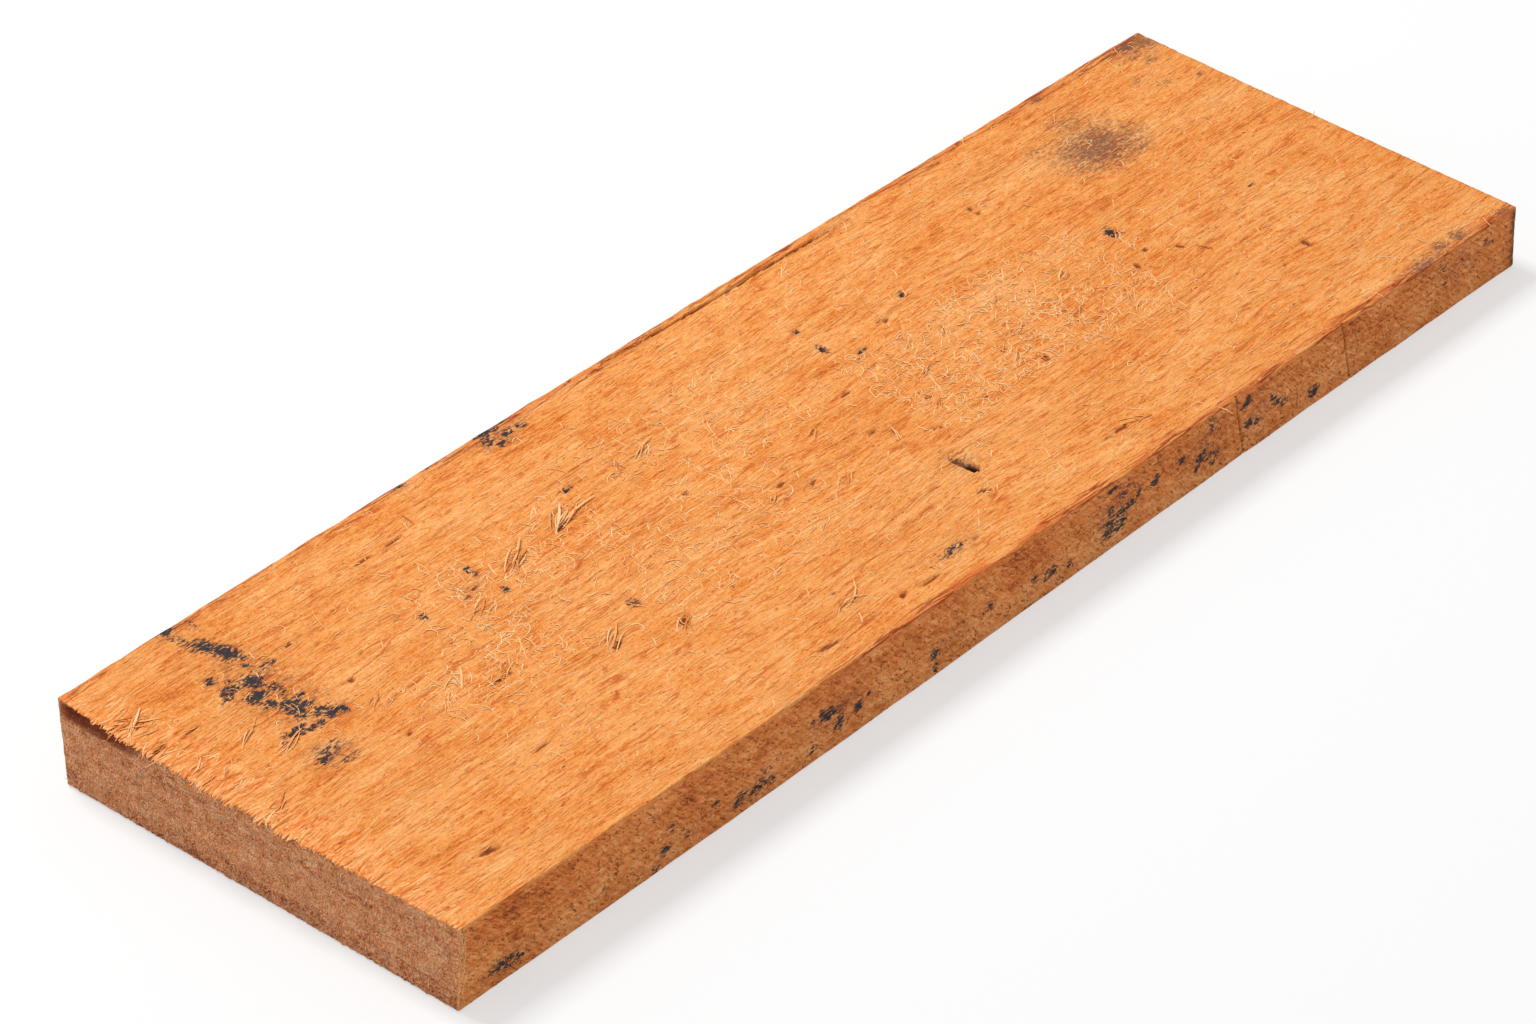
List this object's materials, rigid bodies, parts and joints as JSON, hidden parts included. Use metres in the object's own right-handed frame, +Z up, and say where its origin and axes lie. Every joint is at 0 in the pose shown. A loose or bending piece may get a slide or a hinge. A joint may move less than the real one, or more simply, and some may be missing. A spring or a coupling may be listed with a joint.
{
  "type": "timber lumber plank",
  "caption": "Short rough-sawn softwood board lying flat, with torn crosscut ends, a shake along one arris, saw scores and old stains.",
  "frame": {"origin": "middle of the underside's bounding rectangle, at the level the plank rests on", "axes": "+X along the grain from the thick end to the thin end, +Y across the board from the scored side to the side with the shake, +Z up"},
  "size_m": [0.5028, 0.1518, 0.0276],
  "materials": {
    "timber": "rough-sawn and unplaned, orange-brown, stained blue-black in places"
  },
  "bodies": {
    "root": {"plank": "timber"}
  },
  "joints": []
}
